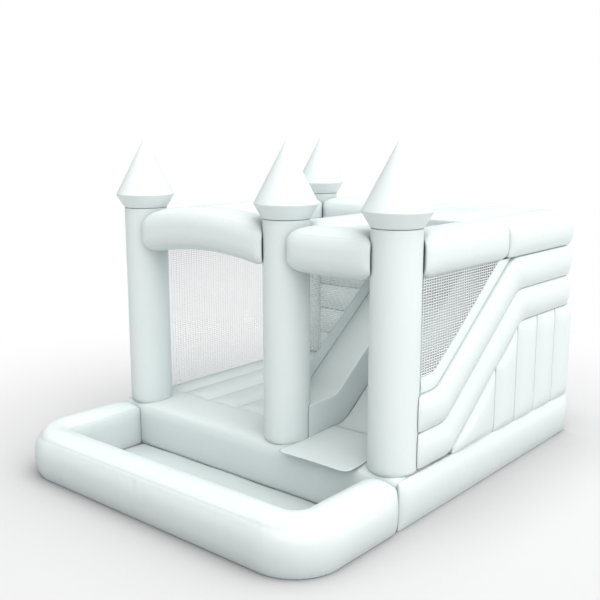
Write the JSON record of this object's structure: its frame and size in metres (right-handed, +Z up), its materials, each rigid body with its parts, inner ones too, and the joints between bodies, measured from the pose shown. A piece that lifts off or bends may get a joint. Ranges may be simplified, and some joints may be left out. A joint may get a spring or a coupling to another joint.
{
  "type": "inflatable bounce house",
  "caption": "Inflatable bounce house with round spired posts, an arched entrance, netted sides, a sloping slide and a splash pool in front.",
  "frame": {"origin": "on the ground under the middle of the whole object's bounding box, the air inlet sleeve included", "axes": "+X to the right for someone facing the entrance, +Y from the pool to the rear, +Z up"},
  "size_m": [4.1599, 5.7398, 3.564],
  "materials": {
    "wall_vinyl": "satin",
    "spire_vinyl": "satin",
    "slide_vinyl": "satin",
    "pool_floor_vinyl": "satin",
    "net_mesh": "matte",
    "net_border": "satin",
    "baffle_cloth": "matte",
    "sleeve_cloth": "matte",
    "webbing": "matte",
    "ring_steel": "satin",
    "zip_plastic": "matte",
    "zip_metal": "satin"
  },
  "bodies": {
    "house": {"front_threshold_beam": "wall_vinyl", "bounce_floor": "slide_vinyl", "slide_base": "wall_vinyl", "rear_base_beam": "wall_vinyl", "floor_baffles": "baffle_cloth", "slide_base_baffles": "baffle_cloth", "threshold_baffle": "baffle_cloth", "pool_wall": "wall_vinyl", "pool_floor_sheet": "pool_floor_vinyl", "front_left_post": "wall_vinyl", "front_middle_post": "wall_vinyl", "front_right_post": "wall_vinyl", "rear_left_post": "wall_vinyl", "front_left_spire": "spire_vinyl", "front_middle_spire": "spire_vinyl", "front_right_spire": "spire_vinyl", "rear_left_spire": "spire_vinyl", "entrance_arch": "wall_vinyl", "slide_front_beam": "wall_vinyl", "left_top_beam": "wall_vinyl", "right_top_beam": "wall_vinyl", "tower_side_beam": "wall_vinyl", "rear_top_beam": "wall_vinyl", "tower_rear_beam": "wall_vinyl", "divider_top_beam": "wall_vinyl", "tower_roof": "wall_vinyl", "roof_baffle": "baffle_cloth", "right_upper_rail": "wall_vinyl", "right_lower_rail": "wall_vinyl", "right_wall_uprights": "wall_vinyl", "right_net": "net_mesh", "right_net_border": "net_border", "divider_rail": "wall_vinyl", "divider_uprights": "wall_vinyl", "divider_net": "net_mesh", "divider_net_border": "net_border", "left_net": "net_mesh", "rear_wall_tubes": "wall_vinyl", "tower_rear_tubes": "wall_vinyl", "tower_rear_uprights": "wall_vinyl", "slide_ramp": "slide_vinyl", "ramp_baffles": "baffle_cloth", "slide_cover": "slide_vinyl", "slide_lip": "slide_vinyl", "slide_platform": "slide_vinyl", "platform_baffles": "baffle_cloth", "climbing_wall": "slide_vinyl", "climbing_steps": "slide_vinyl", "inlet_flange": "sleeve_cloth", "inlet_sleeve": "sleeve_cloth", "inlet_strap": "webbing", "left_anchor": "webbing", "right_anchor": "webbing", "deflation_zip": "zip_plastic"},
    "left_ring": {"left_anchor_ring": "ring_steel"},
    "right_ring": {"right_anchor_ring": "ring_steel"},
    "slider": {"zip_slider": "zip_metal"},
    "pull": {"zip_pull": "zip_metal"}
  },
  "joints": [
    {"name": "left_ring_hinge", "type": "hinge", "parent": "house", "child": "left_ring", "pos_m": [-1.75, 2.288, 0.11], "axis": [1, 0, 0], "range_deg": [-15, 190]},
    {"name": "right_ring_hinge", "type": "hinge", "parent": "house", "child": "right_ring", "pos_m": [1.75, 2.288, 0.11], "axis": [1, 0, 0], "range_deg": [-15, 190]},
    {"name": "zip_slide", "type": "slide", "parent": "house", "child": "slider", "axis": [1, 0, 0], "range_m": [0, 0.518]},
    {"name": "pull_hinge", "type": "hinge", "parent": "slider", "child": "pull", "pos_m": [-0.034, 2.2866, 0.15], "axis": [1, 0, 0], "range_deg": [-8, 180]}
  ]
}
